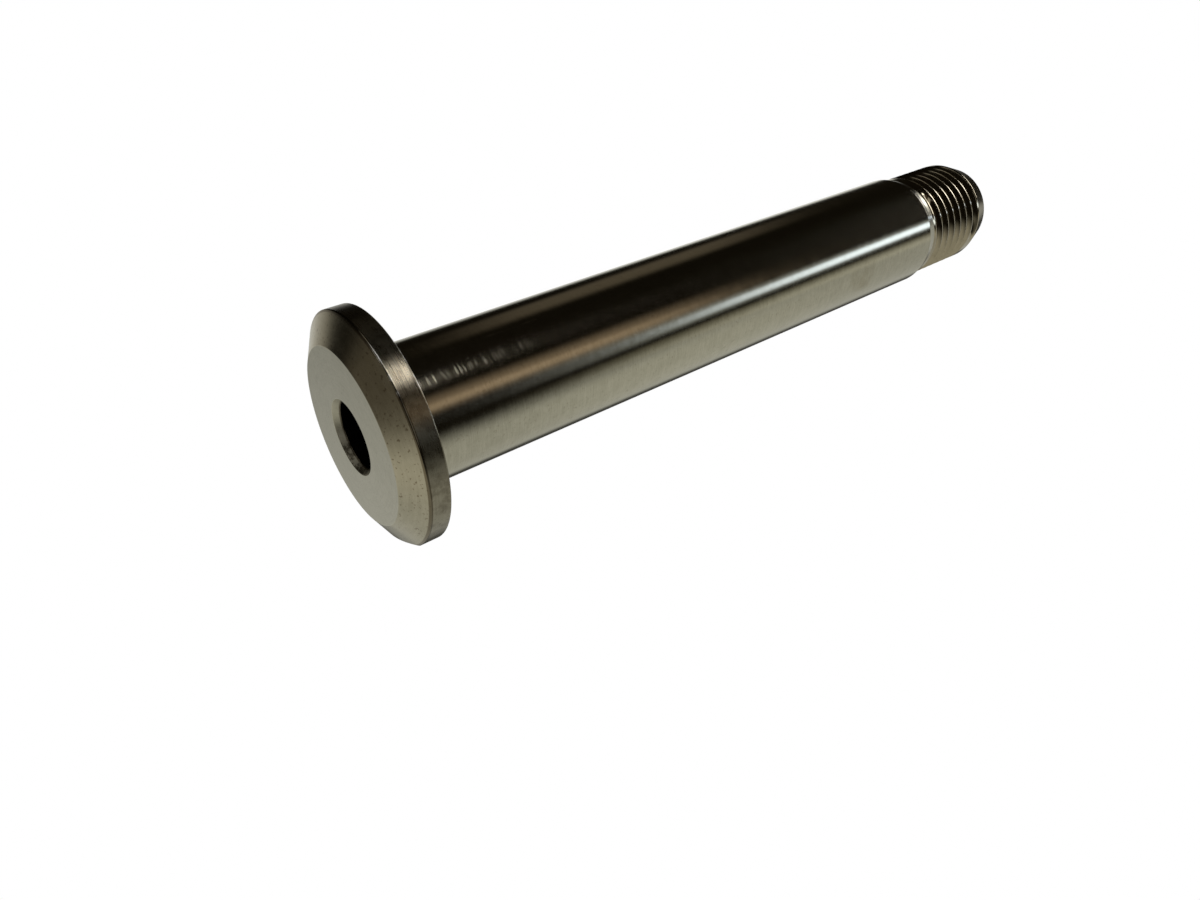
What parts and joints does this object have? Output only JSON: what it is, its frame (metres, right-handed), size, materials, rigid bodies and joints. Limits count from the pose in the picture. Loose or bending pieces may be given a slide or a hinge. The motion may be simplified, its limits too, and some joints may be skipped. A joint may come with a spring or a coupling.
{
  "type": "control arm pin",
  "caption": "Turned steel control arm pin with a bevelled round head, a plain bearing shank and a threaded end.",
  "frame": {"origin": "centre of the shoulder under the head, where the plain shank begins", "axes": "+Z along the pin from the head to the threaded end, -Y out of the flat on the head's rim"},
  "size_m": [0.0584, 0.0567, 0.2346],
  "materials": {
    "steel": "turned and ground satin steel with a warm nickel tone"
  },
  "bodies": {
    "root": {"control_arm_pin": "steel"}
  },
  "joints": []
}
